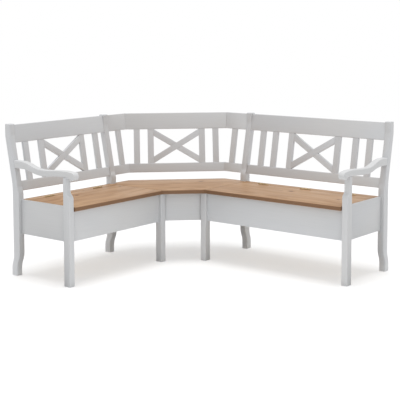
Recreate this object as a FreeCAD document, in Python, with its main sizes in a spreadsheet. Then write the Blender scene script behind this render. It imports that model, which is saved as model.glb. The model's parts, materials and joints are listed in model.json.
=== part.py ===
"""Corner storage bench: two wings with lifting seats that meet at a three-sided corner.

Everything is in millimetres, +Z up. The origin is on the floor at the middle of the bounding box.
+X runs along the right wing away from the corner, and the left wing runs towards -Y.
u is the distance along a wing from the corner of the room, v the distance in front of the wall.
"""
import FreeCAD, Part
import math
import os
import re
from dataclasses import dataclass

import Sketcher

SIZES = {
    # Plan of the bench
    "right_reach": (1720, "outer side of the right end post, from the room corner"),
    "left_reach": (1490, "outer side of the left end post, from the room corner"),
    "junction_reach": (690, "outer side of the posts where a wing meets the corner unit"),
    "bend_reach": (480, "where the back turns by 45 degrees, on the wall line"),
    # Posts and legs
    "post_wide": (40, "width of every post and leg along the wing"),
    "post_top": (908, "height of the rear posts"),
    "post_back": (16, "back face of a rear post, in front of the wall line"),
    "post_front": (70, "front face of a rear post below the seat"),
    "foot_depth": (46, "depth of a rear post at the floor"),
    "foot_back_flat": (45, "height of the flat back of the foot"),
    "foot_back_top": (125, "height where the back of the foot has swept forward"),
    "foot_front_flat": (41, "height of the flat front of the foot"),
    "foot_front_top": (145, "height where the front of the foot has swept forward"),
    "shoulder_low": (490, "start of the shoulder above the seat"),
    "shoulder_top": (549, "height of the centre of the shoulder's hollow"),
    "shoulder_radius": (50, "radius of the shoulder's hollow"),
    "lean_start": (500, "height where the post begins to lean back"),
    "lean_radius": (450, "radius of the bend into the lean"),
    "post_rake": (11.3, "lean of a rear post, in degrees"),
    "crown_radius": (120, "radius that brings the top upright again"),
    "post_lean": (58, "how far the top of the post stands behind its lower part"),
    "upper_depth": (42, "depth of the post above the shoulder"),
    "crown_round": (6, "rounding of the post tops"),
    "leg_front": (493, "front face of the front legs"),
    "leg_depth": (48, "depth of the front legs"),
    # Arm posts and armrests
    "arm_post_depth": (24, "depth of an arm post above its cut"),
    "arm_cut_low": (505, "start of the curved cut in an arm post"),
    "arm_cut_top": (552, "end of the curved cut in an arm post"),
    "arm_under": (631, "height of the armrest's seat on its post"),
    "arm_thick": (36, "thickness of an armrest over its post"),
    "arm_rise": (27, "how much higher the armrest is at the back"),
    "arm_rear_thick": (45, "thickness of an armrest at the back"),
    "arm_dip": (9, "how far the armrest sinks between its back and its post"),
    "arm_rear_flat": (79, "end of the level rear part of an armrest"),
    "arm_low_point": (272, "lowest place of an armrest's top"),
    "scroll_radius": (23, "radius of the rounded nose"),
    "scroll_reach": (538, "foremost point of the nose"),
    "scroll_drop": (5, "how far the nose's top lies below the armrest over its post"),
    "lip_radius": (40, "radius of the hollow under the nose"),
    "arm_flat_margin": (5, "how far the armrest's flat seat runs past its post"),
    # Seats
    "seat_top": (458, "height of the seat"),
    "seat_thick": (25, "thickness of the seat boards"),
    "seat_front": (500, "front edge of the seat"),
    "seat_back": (45, "rear edge of the fixed seat boards"),
    "strip_front": (105, "front edge of the fixed strip behind a lid"),
    "corner_nib": (3, "straight bit of the corner seat's front edge beside each lid"),
    "lid_gap": (1.5, "gap between a lid and the corner seat"),
    "lid_end_gap": (3, "gap between a lid and the end post"),
    "seat_round": (5, "rounding of the seat's front edge"),
    # Aprons, panels and chests
    "apron_inset": (20, "aprons and end panels stand back from the legs by this"),
    "apron_thick": (20, "thickness of the front aprons"),
    "panel_thick": (18, "thickness of end, back and dividing panels"),
    "apron_low": (256, "lower edge of aprons and panels"),
    "end_panel_rise": (2, "how far an end panel stands above the seat"),
    "corner_apron_inset": (25, "the corner apron meets its legs this far behind their fronts"),
    "floor_thick": (12, "thickness of a chest floor"),
    "cleat_size": (18, "side of the square cleats"),
    "cleat_end": (10, "distance from a cleat's end to the leg"),
    "bearer_wide": (30, "width of the bearer under a fixed strip"),
    "batten_wide": (45, "width of a lid batten"),
    "batten_thick": (18, "thickness of a lid batten"),
    "batten_inset": (120, "distance of the outer battens from the lid's ends"),
    "batten_back": (40, "distance of a batten from the lid's rear edge"),
    "batten_front": (60, "distance of a batten from the lid's front edge"),
    "seat_rail_deep": (70, "height of the rear rails under the corner seat"),
    # Back
    "back_recess": (8, "rails stand this far behind the post fronts, at seat height"),
    "back_rake": (9.7, "lean of the back, in degrees"),
    "rail_thick": (20, "thickness of the rails"),
    "low_rail_low": (510, "lower edge of the lower rails"),
    "low_rail_top": (569.5, "upper edge of the lower rails"),
    "top_rail_low": (795, "lower edge of the top rails"),
    "top_rail_top": (902, "upper edge of the top rails"),
    "slat_wide": (40, "width of slats and stiles"),
    "slat_thick": (18, "thickness of slats, stiles and cross bars"),
    "cross_opening": (306, "clear width between the stiles beside a cross"),
    "bar_end": (45, "height of a cross bar's end, along the stile"),
    "left_slat_share": (0.604, "place of the left wing's slat on the way from stile to post"),
    "right_slat_share": (0.388, "place of the right wing's first slat on that way"),
    "right_second_share": (0.692, "place of the right wing's second slat on that way"),
    "corner_slat_share": (0.559, "place of the corner's slat on the way from stile to bend"),
    "side_slat_share": (0.43, "place of the slat beside the bend on the way from bend to post"),
    # Hinges
    "leaf_thick": (1.5, "thickness of a hinge leaf"),
    "leaf_gap": (0.3, "running clearance of the hinges"),
    "leaf_drop": (24, "depth of a hinge leaf below the seat's surface"),
    "knuckle_radius": (3.5, "outer radius of a knuckle"),
    "pin_radius": (2.5, "radius of a hinge pin"),
    "pin_clearance": (0.05, "radial clearance of the pin in the moving knuckle"),
    "pin_head": (1.2, "how far a pin stands out of its knuckles"),
    "knuckle_long": (25, "length of one knuckle"),
    "hinge_inset": (170, "from a lid's end to the middle of its outer hinge"),
    # Softened edges
    "edge_ease": (2.5, "chamfer of posts, legs, rails and armrests"),
    "board_ease": (1.5, "chamfer of slats and cross bars"),
}

FIXED_KNUCKLES = (0, 2)
MOVING_KNUCKLES = (1,)
KNUCKLES = len(FIXED_KNUCKLES + MOVING_KNUCKLES)
RIGHT_HINGES = 3
LEFT_HINGES = 2
FLAT = 1e-6

doc = FreeCAD.newDocument("corner_bench")
sheet = doc.addObject("Spreadsheet::Sheet", "Sizes")
for row, (alias, (value, meaning)) in enumerate(SIZES.items(), start=1):
    sheet.set(f"A{row}", meaning)
    sheet.set(f"B{row}", str(value))
    sheet.setAlias(f"B{row}", alias)
doc.recompute()


def bound(text):
    """Turn words that name a size into references to the sheet."""
    return re.sub(r"[a-z_]+", lambda word: f"Sizes.{word[0]}" if word[0] in SIZES else word[0], str(text))


def number(text):
    """Value of an expression, worked out by the document."""
    return float(sheet.evalExpression(bound(text)))


def bind(item, path, text):
    """Tie one property of an object to an expression."""
    item.setExpression(path, bound(text))


# Frames: the same back is built on the right wing, the left wing and the corner diagonal

LEAN_OUT = "(post_lean - post_back)"
LEG_BACK = "(leg_front - leg_depth)"
SEAT_UNDER = "(seat_top - seat_thick)"
TURN = f"{math.tan(math.radians(22.5)):.9f}"


@dataclass(frozen=True)
class Frame:
    """A wall line with its origin, its turn about Z and the sense of u along its X axis."""
    name: str
    turn: float
    side: int
    shift: str

    def place(self, item):
        """Stand an object in this frame."""
        upright = FreeCAD.Vector(0, 0, 1)
        item.Placement = FreeCAD.Placement(FreeCAD.Vector(), FreeCAD.Rotation(upright, self.turn))
        bind(item, "Placement.Base.x", f"{self.shift} - (right_reach - {LEAN_OUT}) / 2")
        bind(item, "Placement.Base.y", f"(left_reach - {LEAN_OUT}) / 2 - {self.shift}")

    def along(self, near, far):
        """X range of a stretch that runs from near to far along the wing."""
        if self.side > 0:
            return str(near), str(far)
        return f"-({far})", f"-({near})"


RIGHT = Frame("right", 0, 1, "0")
LEFT = Frame("left", 90, -1, "0")
CORNER = Frame("corner", 45, 1, "bend_reach / 2")
REACH = {RIGHT: "right_reach", LEFT: "left_reach"}

made = []


def piece(name, frame):
    """Start a part of the bench in its frame."""
    item = doc.addObject("PartDesign::Body", name)
    item.Label = name
    frame.place(item)
    return item


def keep(item):
    """Mark a finished object for export."""
    made.append(item)
    return item


def group(name, items):
    """Join like solids, still separate, under one name."""
    holder = doc.addObject("Part::Compound", name)
    holder.Label = name
    holder.Links = items
    return keep(holder)


# Sketches

def sketch_on(item, role, offset="0"):
    """Sketch on one of the part's own planes, moved along its normal."""
    planes = {plane.Role: plane for plane in item.Origin.OriginFeatures}
    sketch = item.newObject("Sketcher::SketchObject", f"{item.Name}_sketch")
    sketch.AttachmentSupport = [(planes[role], "")]
    sketch.MapMode = "FlatFace"
    bind(sketch, "AttachmentOffset.Base.z", offset)
    return sketch


def sketch_on_rake(item, height, depth):
    """Sketch parallel to the raked back, depth behind its front, with y = 0 at height."""
    sketch = sketch_on(item, "XZ_Plane")
    tilt_axis = FreeCAD.Vector(1, 0, 0)
    sketch.AttachmentOffset = FreeCAD.Placement(FreeCAD.Vector(), FreeCAD.Rotation(tilt_axis, -1))
    ahead, level = raked(height, depth)
    bind(sketch, "AttachmentOffset.Rotation.Angle", "-back_rake")
    bind(sketch, "AttachmentOffset.Base.y", level)
    bind(sketch, "AttachmentOffset.Base.z", ahead)
    return sketch


def arc_between(start, end, radius, side):
    """Arc shorter than a half circle; side is +1 where its centre lies left of the way."""
    chord = FreeCAD.Vector(end[0] - start[0], end[1] - start[1], 0)
    middle = FreeCAD.Vector((start[0] + end[0]) / 2, (start[1] + end[1]) / 2, 0)
    rise = math.sqrt(max(radius ** 2 - (chord.Length / 2) ** 2, 0))
    normal = FreeCAD.Vector(-chord.y, chord.x, 0) / chord.Length
    centre = middle + normal * rise * side
    ends = [math.atan2(place[1] - centre.y, place[0] - centre.x) for place in (start, end)]
    if side < 0:
        ends.reverse()
    return Part.ArcOfCircle(Part.Circle(centre, FreeCAD.Vector(0, 0, 1), radius), ends[0], ends[1])


def outline(sketch, corners):
    """Closed outline. A corner is (x, y), or (x, y, radius, side) where an arc leads to it."""
    places = [(number(corner[0]), number(corner[1])) for corner in corners]
    starts = []
    ends = []
    for index, corner in enumerate(corners):
        start, end = places[index - 1], places[index]
        if len(corner) == 2:
            edge = Part.LineSegment(FreeCAD.Vector(*start, 0), FreeCAD.Vector(*end, 0))
            starts.append(1)
        else:
            edge = arc_between(start, end, number(corner[2]), corner[3])
            starts.append(1 if corner[3] > 0 else 2)
        ends.append(3 - starts[-1])
        sketch.addGeometry(edge, False)
    for index, corner in enumerate(corners):
        follower = (index + 1) % len(corners)
        meeting = Sketcher.Constraint("Coincident", index, ends[index], follower, starts[follower])
        sketch.addConstraint(meeting)
        for kind, axis in (("DistanceX", 0), ("DistanceY", 1)):
            rule = Sketcher.Constraint(kind, -1, 1, index, ends[index], places[index][axis])
            bind(sketch, f"Constraints[{sketch.addConstraint(rule)}]", corner[axis])
        if len(corner) > 2:
            rule = Sketcher.Constraint("Radius", index, number(corner[2]))
            bind(sketch, f"Constraints[{sketch.addConstraint(rule)}]", corner[2])
    return sketch


def section(sketch, corners):
    """Outline on the YZ plane with corners given as (v, z), v measured in front of the wall."""
    turned = [(f"-({corner[0]})", corner[1]) + tuple(corner[2:3]) + tuple(-side for side in corner[3:])
              for corner in corners]
    return outline(sketch, turned)


def rectangle(sketch, across, up):
    """Rectangle between two ranges."""
    return outline(sketch, [(across[0], up[0]), (across[1], up[0]), (across[1], up[1]), (across[0], up[1])])


def circle(sketch, across, up, radius):
    """Circle at a place."""
    middle = FreeCAD.Vector(number(across), number(up), 0)
    sketch.addGeometry(Part.Circle(middle, FreeCAD.Vector(0, 0, 1), number(radius)), False)
    for kind, text, value in (("DistanceX", across, middle.x), ("DistanceY", up, middle.y)):
        index = sketch.addConstraint(Sketcher.Constraint(kind, -1, 1, 0, 3, value))
        bind(sketch, f"Constraints[{index}]", text)
    index = sketch.addConstraint(Sketcher.Constraint("Radius", 0, number(radius)))
    bind(sketch, f"Constraints[{index}]", radius)
    return sketch


# Features

def pad(item, sketch, length):
    """Grow a sketch along its normal."""
    feature = item.newObject("PartDesign::Pad", f"{item.Name}_pad")
    feature.Profile = sketch
    bind(feature, "Length", length)
    sketch.Visibility = False
    return feature


def pocket(item, sketch, length, ahead=False):
    """Cut a sketch into the part, against its normal or ahead along it."""
    doc.recompute()
    before = item.Shape.Volume
    feature = item.newObject("PartDesign::Pocket", f"{item.Name}_pocket")
    feature.Profile = sketch
    feature.Reversed = ahead
    bind(feature, "Length", length)
    doc.recompute()
    if item.Shape.Volume >= before:
        raise ValueError(f"a pocket of {item.Label} cuts nothing")
    return feature


def ease(item, kind, size, wanted):
    """Fillet or chamfer the edges of the part that a test picks."""
    doc.recompute()
    base = item.Tip
    names = [f"Edge{index}" for index, edge in enumerate(base.Shape.Edges, start=1) if wanted(edge)]
    feature = item.newObject(f"PartDesign::{kind}", f"{item.Name}_{kind}")
    feature.Base = (base, names)
    bind(feature, "Radius" if kind == "Fillet" else "Size", size)
    return feature


def on_side(edge):
    """Whether an edge lies in a side of a sawn part, square to X, and above the floor."""
    box = edge.BoundBox
    return box.XLength < FLAT and box.ZMax > FLAT


def along_part(edge):
    """Whether an edge runs straight along X."""
    box = edge.BoundBox
    return box.YLength < FLAT and box.ZLength < FLAT


def up_part(edge):
    """Whether an edge runs the height of a slat or leg."""
    box = edge.BoundBox
    return box.XLength < FLAT and box.ZLength > box.YLength


def along_bar(falling):
    """Test for edges that run with a cross bar and not with its fellow."""

    def wanted(edge):
        """Whether an edge falls towards +X as a falling bar does, or climbs as a rising one does."""
        start, end = (vertex.Point for vertex in edge.Vertexes)
        slope = (end.x - start.x) * (end.z - start.z)
        return slope < -1 if falling else slope > 1

    return wanted


def board(name, frame, u, v, z):
    """Square board between ranges of u, v and z."""
    item = piece(name, frame)
    sketch = sketch_on(item, "XY_Plane", z[0])
    rectangle(sketch, frame.along(*u), (f"-({v[1]})", f"-({v[0]})"))
    pad(item, sketch, f"{z[1]} - ({z[0]})")
    return item


# Back: every rail, slat and bar follows one raked plane

def raked(height, depth="0"):
    """v and z of a point this deep behind the front plane of the back."""
    ahead = f"(post_front - back_recess - ({height} - seat_top) * tan(back_rake * 1 deg)" \
            f" - ({depth}) * cos(back_rake * 1 deg))"
    level = f"({height} - ({depth}) * sin(back_rake * 1 deg))"
    return ahead, level


SLAT_SET = "(rail_thick - slat_thick) / 2"
RAKED_GAP = "(top_rail_low - low_rail_top) / cos(back_rake * 1 deg)"


def raked_board(name, frame, across, low, high, front, thick):
    """Board that leans with the back, between two heights."""
    item = piece(name, frame)
    sketch = sketch_on(item, "YZ_Plane", across[0])
    rear = f"{front} + {thick}"
    section(sketch, [raked(low, front), raked(high, front), raked(high, rear), raked(low, rear)])
    pad(item, sketch, f"({across[1]}) - ({across[0]})")
    return item


# Bends: the corner's rails are cut longer than they need and then mitred upright

HALF_CORNER = "(bend_reach / sqrt(2))"
MITRE_ROOM = "(post_lean + post_front)"


def cut_mitre(item, start, slope, towards):
    """Cut a rail along the line x = start + slope * v, on the side that towards gives as + or -."""
    sketch = sketch_on(item, "XY_Plane")
    waste = f"{start} {towards} 2 * {MITRE_ROOM}"
    corners = [(f"{start} - ({slope}) * post_lean", "post_lean"),
               (f"{start} + ({slope}) * post_front", "-post_front"),
               (waste, "-post_front"),
               (waste, "post_lean")]
    pocket(item, outline(sketch, corners), "post_top", ahead=True)


def mitre(item, frame):
    """Mitre a rail where the back turns: one end of a side rail, both ends of the middle one."""
    if frame is CORNER:
        cut_mitre(item, HALF_CORNER, f"-{TURN}", "+")
        cut_mitre(item, f"-{HALF_CORNER}", TURN, "-")
    elif frame.side > 0:
        cut_mitre(item, "bend_reach", TURN, "-")
    else:
        cut_mitre(item, "-bend_reach", f"-{TURN}", "+")


def corner_span(frame):
    """X range from which a corner rail is mitred."""
    if frame is CORNER:
        return f"-({HALF_CORNER} + {MITRE_ROOM})", f"{HALF_CORNER} + {MITRE_ROOM}"
    return frame.along(f"bend_reach - {MITRE_ROOM}", "junction_reach - post_wide")


def wing_rail(name, frame, low, high):
    """Rail of a wing, from post to post."""
    across = frame.along("junction_reach", f"{REACH[frame]} - post_wide")
    item = raked_board(name, frame, across, low, high, "0", "rail_thick")
    ease(item, "Chamfer", "edge_ease", along_part)
    return keep(item)


def corner_rail(name, frame, low, high):
    """Rail of the corner unit, mitred where it meets the next."""
    item = raked_board(name, frame, corner_span(frame), low, high, "0", "rail_thick")
    mitre(item, frame)
    ease(item, "Chamfer", "edge_ease", along_part)
    return keep(item)


def slat(name, frame, middle):
    """Upright slat between the rails, centred at a distance along its frame."""
    across = frame.along(f"{middle} - slat_wide / 2", f"{middle} + slat_wide / 2")
    item = raked_board(name, frame, across, "low_rail_top", "top_rail_low", SLAT_SET, "slat_thick")
    ease(item, "Chamfer", "board_ease", up_part)
    return item


def cross_bar(name, frame, middle, falling):
    """Bar of a cross, halved over its fellow. A falling bar runs down towards +X."""
    item = piece(name, frame)
    rear = f"{SLAT_SET} + slat_thick"
    left, right = f"{middle} - cross_opening / 2", f"{middle} + cross_opening / 2"
    fall = [(left, RAKED_GAP), (left, f"{RAKED_GAP} - bar_end"), (right, "0"), (right, "bar_end")]
    climb = [(right, RAKED_GAP), (left, "bar_end"), (left, "0"), (right, f"{RAKED_GAP} - bar_end")]
    own, other = (fall, climb) if falling else (climb, fall)
    pad(item, outline(sketch_on_rake(item, "low_rail_top", rear), own), "slat_thick")
    if falling:
        lap = outline(sketch_on_rake(item, "low_rail_top", SLAT_SET), other)
        pocket(item, lap, "slat_thick / 2")
    else:
        lap = outline(sketch_on_rake(item, "low_rail_top", rear), other)
        pocket(item, lap, "slat_thick / 2", ahead=True)
    ease(item, "Chamfer", "board_ease", along_bar(falling))
    return keep(item)


def cross_panel(frame, middle):
    """Two halved bars between two stiles."""
    cross_bar(f"{frame.name}_cross_bar_falling", frame, middle, True)
    cross_bar(f"{frame.name}_cross_bar_rising", frame, middle, False)


def wing_back(frame, shares):
    """Rails, stiles, cross and slats of a wing. Each share places a slat between stile and post."""
    wing_rail(f"{frame.name}_top_rail", frame, "top_rail_low", "top_rail_top")
    wing_rail(f"{frame.name}_lower_rail", frame, "low_rail_low", "low_rail_top")
    centre = f"(junction_reach + {REACH[frame]} - post_wide) / 2"
    stile = "(cross_opening + slat_wide) / 2"
    free = f"(({REACH[frame]} - post_wide - junction_reach) / 2 - {stile})"
    steps = [stile] + [f"{stile} + {free} * {share}" for share in shares]
    uprights = [slat(f"{frame.name}_{side}_upright_{index}", frame, f"{centre} {sign} ({step})")
                for index, step in enumerate(steps) for side, sign in (("inner", "-"), ("outer", "+"))]
    group(f"{frame.name}_stiles", uprights[:2])
    group(f"{frame.name}_slats", uprights[2:])
    middle = centre if frame.side > 0 else f"-({centre})"
    cross_panel(frame, middle)


def corner_back():
    """Three mitred rails above and below, with the cross on the diagonal."""
    for level_name, low, high in (("top", "top_rail_low", "top_rail_top"),
                                  ("lower", "low_rail_low", "low_rail_top")):
        corner_rail(f"corner_{level_name}_rail", CORNER, low, high)
        for frame in (LEFT, RIGHT):
            corner_rail(f"corner_{frame.name}_{level_name}_rail", frame, low, high)
    stile = "(cross_opening + slat_wide) / 2"
    group("corner_stiles", [slat(f"corner_{side}_stile", CORNER, f"{sign}{stile}")
                            for side, sign in (("left", "-"), ("right", "+"))])
    step = f"({stile} + ({HALF_CORNER} - {stile}) * corner_slat_share)"
    slats = [slat(f"corner_{side}_slat", CORNER, f"{sign}{step}")
             for side, sign in (("left", "-"), ("right", "+"))]
    side_step = "bend_reach + (junction_reach - post_wide - bend_reach) * side_slat_share"
    slats += [slat(f"corner_{frame.name}_side_slat", frame, f"({side_step})") for frame in (LEFT, RIGHT)]
    group("corner_slats", slats)
    cross_panel(CORNER, "0")


# Posts

def sweep(start, end, side, level=False):
    """S-curve of two equal arcs that leaves and arrives upright, or level. side is the first arc's."""
    ahead, up = f"({end[0]} - ({start[0]}))", f"({end[1]} - ({start[1]}))"
    radius = f"({ahead}^2 + {up}^2) / (4 * abs({up if level else ahead}))"
    middle = (f"({start[0]} + {end[0]}) / 2", f"({start[1]} + {end[1]}) / 2")
    return [middle + (radius, side), end + (radius, -side)]


LEAN_COS = "cos(post_rake * 1 deg)"
LEAN_SIN = "sin(post_rake * 1 deg)"
LEAN_RUN = f"((post_lean - (lean_radius + crown_radius) * (1 - {LEAN_COS})) / {LEAN_SIN})"
LEAN_CENTRE = "(post_back - lean_radius)"
LEAN_FRONT = "(lean_radius + upper_depth)"


def post_front_at(height):
    """v of a rear post's front face where it leans straight."""
    return f"({LEAN_CENTRE} + {LEAN_FRONT} / {LEAN_COS} - ({height} - lean_start) * tan(post_rake * 1 deg))"


HOLLOW_V = f"({LEAN_CENTRE} + sqrt(({LEAN_FRONT} + shoulder_radius)^2 - (shoulder_top - lean_start)^2))"
HOLLOW_SHARE = f"({LEAN_FRONT} / ({LEAN_FRONT} + shoulder_radius))"


def shoulder():
    """Rounded step of a rear post above the seat: a hollow below the leaning face, then a swelling."""
    across, up = f"(post_front - {HOLLOW_V})", "(shoulder_top - shoulder_low)"
    swelling = f"(({across}^2 + {up}^2 - shoulder_radius^2) / (2 * ({across} + shoulder_radius)))"
    share = f"({swelling} / ({swelling} + shoulder_radius))"
    return [
        (f"{LEAN_CENTRE} + ({HOLLOW_V} - {LEAN_CENTRE}) * {HOLLOW_SHARE}",
         f"lean_start + (shoulder_top - lean_start) * {HOLLOW_SHARE}", LEAN_FRONT, -1),
        (f"post_front - {swelling} + ({HOLLOW_V} - post_front + {swelling}) * {share}",
         f"shoulder_low + {up} * {share}", "shoulder_radius", 1),
        ("post_front", "shoulder_low", swelling, -1),
    ]


def rear_post(name, frame, outer):
    """Sawn rear post: swept foot, upright shank, shoulder and leaning top."""
    bend_v = f"({LEAN_CENTRE} + lean_radius * {LEAN_COS})"
    bend_z = f"(lean_start + lean_radius * {LEAN_SIN})"
    turn_v = f"({bend_v} - {LEAN_RUN} * {LEAN_SIN})"
    turn_z = f"({bend_z} + {LEAN_RUN} * {LEAN_COS})"
    crown_v = "(post_back - post_lean)"
    crown_front = f"({crown_v} + upper_depth)"
    crown_z = f"({turn_z} + crown_radius * {LEAN_SIN})"
    foot_back = sweep(("0", "foot_back_flat"), ("post_back", "foot_back_top"), -1)
    foot_front = sweep(("post_front", "foot_front_top"), ("foot_depth", "foot_front_flat"), -1)
    corners = [
        ("0", "0"),
        ("0", "foot_back_flat"),
        *foot_back,
        ("post_back", "lean_start"),
        (bend_v, bend_z, "lean_radius", 1),
        (turn_v, turn_z),
        (crown_v, crown_z, "crown_radius", -1),
        (crown_v, "post_top - crown_round"),
        (f"{crown_v} + crown_round", "post_top", "crown_round", -1),
        (f"{crown_front} - crown_round", "post_top"),
        (crown_front, "post_top - crown_round", "crown_round", -1),
        (crown_front, crown_z),
        (f"{turn_v} + upper_depth * {LEAN_COS}", f"{turn_z} + upper_depth * {LEAN_SIN}",
         "crown_radius - upper_depth", 1),
        (f"{LEAN_CENTRE} + {LEAN_FRONT} * {LEAN_COS}", f"lean_start + {LEAN_FRONT} * {LEAN_SIN}"),
        *shoulder(),
        ("post_front", "foot_front_top"),
        *foot_front,
        ("foot_depth", "0"),
    ]
    item = piece(name, frame)
    across = frame.along(f"{outer} - post_wide", outer)
    pad(item, section(sketch_on(item, "YZ_Plane", across[0]), corners), "post_wide")
    ease(item, "Chamfer", "edge_ease", on_side)
    return keep(item)


def arm_post(name, frame):
    """Outer front post: a full leg below, cut back in a curve to carry the armrest."""
    front = f"({LEG_BACK} + arm_post_depth)"
    item = piece(name, frame)
    across = frame.along(f"{REACH[frame]} - post_wide", REACH[frame])
    corners = [
        (LEG_BACK, "0"),
        (LEG_BACK, "arm_under"),
        (front, "arm_under"),
        (front, "arm_cut_top"),
        *sweep((front, "arm_cut_top"), ("leg_front", "arm_cut_low"), 1),
        ("leg_front", "0"),
    ]
    pad(item, section(sketch_on(item, "YZ_Plane", across[0]), corners), "post_wide")
    ease(item, "Chamfer", "edge_ease", on_side)
    return keep(item)


def corner_leg(name, frame):
    """Short front leg at the end of the corner apron."""
    item = board(name, frame, ("junction_reach - post_wide", "junction_reach"),
                 (LEG_BACK, "leg_front"), ("0", SEAT_UNDER))
    ease(item, "Chamfer", "edge_ease", up_part)
    return keep(item)


def armrest(name, frame):
    """S-shaped armrest that butts on the rear post and ends in a rounded nose."""
    over_post = "(arm_under + arm_thick)"
    rear_top = f"({over_post} + arm_rise)"
    rear_low = f"({rear_top} - arm_rear_thick)"
    low_top = ("arm_low_point", f"({over_post} - arm_dip)")
    low_under = ("arm_low_point", "(arm_under - arm_dip)")
    post_mid = f"({LEG_BACK} + arm_post_depth / 2)"
    nose_v = "(scroll_reach - scroll_radius)"
    nose_z = f"({over_post} - scroll_drop - scroll_radius)"
    ahead = f"({nose_v} - {post_mid})"
    brow = f"(({ahead}^2 + (scroll_radius + scroll_drop)^2 - scroll_radius^2) / (2 * scroll_drop))"
    brow_share = f"({brow} / ({brow} - scroll_radius))"
    lip = f"({nose_v} - sqrt((lip_radius + scroll_radius)^2 - (lip_radius + {nose_z} - arm_under)^2))"
    lip_share = "(scroll_radius / (lip_radius + scroll_radius))"
    rest_back = (f"({LEG_BACK} - arm_flat_margin)", "arm_under")
    under_start = ("(arm_rear_flat + arm_rear_thick / 2)", rear_low)
    corners = [
        (post_front_at(rear_top), rear_top),
        ("arm_rear_flat", rear_top),
        *sweep(("arm_rear_flat", rear_top), low_top, -1, level=True),
        *sweep(low_top, (post_mid, over_post), 1, level=True),
        (f"{post_mid} + {ahead} * {brow_share}",
         f"{over_post} - {brow} + ({brow} - scroll_drop - scroll_radius) * {brow_share}", brow, -1),
        ("scroll_reach", nose_z, "scroll_radius", -1),
        (f"{nose_v} + ({lip} - {nose_v}) * {lip_share}",
         f"{nose_z} + (arm_under - lip_radius - {nose_z}) * {lip_share}", "scroll_radius", -1),
        (lip, "arm_under", "lip_radius", 1),
        rest_back,
        *sweep(rest_back, low_under, 1, level=True),
        *sweep(low_under, under_start, -1, level=True),
        (post_front_at(rear_low), rear_low),
    ]
    item = piece(name, frame)
    across = frame.along(f"{REACH[frame]} - post_wide", REACH[frame])
    pad(item, section(sketch_on(item, "YZ_Plane", across[0]), corners), "post_wide")
    ease(item, "Chamfer", "edge_ease", on_side)
    return keep(item)


# Seats and chests

APRON_FACE = "(leg_front - apron_inset)"
APRON_REAR = f"({APRON_FACE} - apron_thick)"
BACK_PANEL = ("(post_back + apron_inset)", "(post_back + apron_inset + panel_thick)")
LID_REAR = "(strip_front + 2 * leaf_thick + leaf_gap)"
PIN_V = "(strip_front + leaf_thick + leaf_gap / 2)"
PIN_Z = "(seat_top + knuckle_radius + leaf_gap)"


def chest(frame):
    """Panels, floor and cleats that close the space under a lid."""
    name = frame.name
    reach = REACH[frame]
    inside = ("junction_reach", f"{reach} - post_wide")
    keep(board(f"{name}_apron", frame, inside, (APRON_REAR, APRON_FACE), ("apron_low", SEAT_UNDER)))
    keep(board(f"{name}_back_panel", frame, inside, BACK_PANEL, ("apron_low", SEAT_UNDER)))
    face = f"({reach} - apron_inset)"
    keep(board(f"{name}_end_panel", frame, (f"{face} - panel_thick", face), ("post_front", LEG_BACK),
               ("apron_low", "seat_top + end_panel_rise")))
    keep(board(f"{name}_divider", frame, ("junction_reach - panel_thick", "junction_reach"),
               ("post_front", LEG_BACK), ("apron_low", SEAT_UNDER)))
    cleat_top = "(apron_low + cleat_size)"
    keep(board(f"{name}_chest_floor", frame, inside, (BACK_PANEL[1], APRON_REAR),
               (cleat_top, f"{cleat_top} + floor_thick")))
    cleat_run = ("junction_reach + cleat_end", f"{reach} - post_wide - cleat_end")
    parts = [
        board(f"{name}_rear_cleat", frame, cleat_run, (BACK_PANEL[1], f"{BACK_PANEL[1]} + cleat_size"),
              ("apron_low", cleat_top)),
        board(f"{name}_front_cleat", frame, cleat_run, (f"{APRON_REAR} - cleat_size", APRON_REAR),
              ("apron_low", cleat_top)),
        board(f"{name}_strip_bearer", frame, cleat_run, (BACK_PANEL[1], f"{BACK_PANEL[1]} + bearer_wide"),
              (f"{SEAT_UNDER} - bearer_wide", SEAT_UNDER)),
    ]
    group(f"{name}_chest_cleats", parts)


def lid(frame):
    """Lifting seat, its battens and the fixed strip behind it."""
    name = frame.name
    reach = REACH[frame]
    ends = ("junction_reach + lid_gap", f"{reach} - post_wide - lid_end_gap")
    seat = board(f"{name}_lid", frame, ends, (LID_REAR, "seat_front"), (SEAT_UNDER, "seat_top"))
    ease(seat, "Fillet", "seat_round", front_edge)
    keep(seat)
    keep(board(f"{name}_hinge_strip", frame, ("junction_reach", f"{reach} - post_wide"),
               ("seat_back", "strip_front"), (SEAT_UNDER, "seat_top")))
    middle = f"({ends[0]} + {ends[1]}) / 2"
    places = [f"{ends[0]} + batten_inset", middle, f"{ends[1]} - batten_inset"]
    battens = [board(f"{name}_batten_{index}", frame,
                     (f"{place} - batten_wide / 2", f"{place} + batten_wide / 2"),
                     (f"{LID_REAR} + batten_back", "seat_front - batten_front"),
                     (f"{SEAT_UNDER} - batten_thick", SEAT_UNDER))
               for index, place in enumerate(places, start=1)]
    group(f"{name}_lid_battens", battens)
    return ends


def front_edge(edge):
    """Whether an edge is the long upper or lower edge at the front of a seat."""
    box = edge.BoundBox
    return along_part(edge) and box.ZLength < FLAT and box.YMax < FLAT - number("seat_front")


def corner_seat():
    """Fixed six-sided seat, notched round both junction posts."""
    item = piece("corner_seat", RIGHT)
    bend = f"(bend_reach + {TURN} * seat_back)"
    notch = "(junction_reach - post_wide)"
    tip = "(junction_reach - corner_nib)"
    walls = [("seat_back", bend), ("seat_back", notch), ("post_front", notch),
             ("post_front", "junction_reach"), ("seat_front", "junction_reach"), ("seat_front", tip)]
    corners = [(v, f"-({u})") for v, u in walls]
    corners += [(u, f"-({v})") for v, u in reversed(walls)]
    sketch = sketch_on(item, "XY_Plane", SEAT_UNDER)
    pad(item, outline(sketch, corners), "seat_thick")
    ease(item, "Fillet", "seat_round", corner_front_edge)
    return keep(item)


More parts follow.
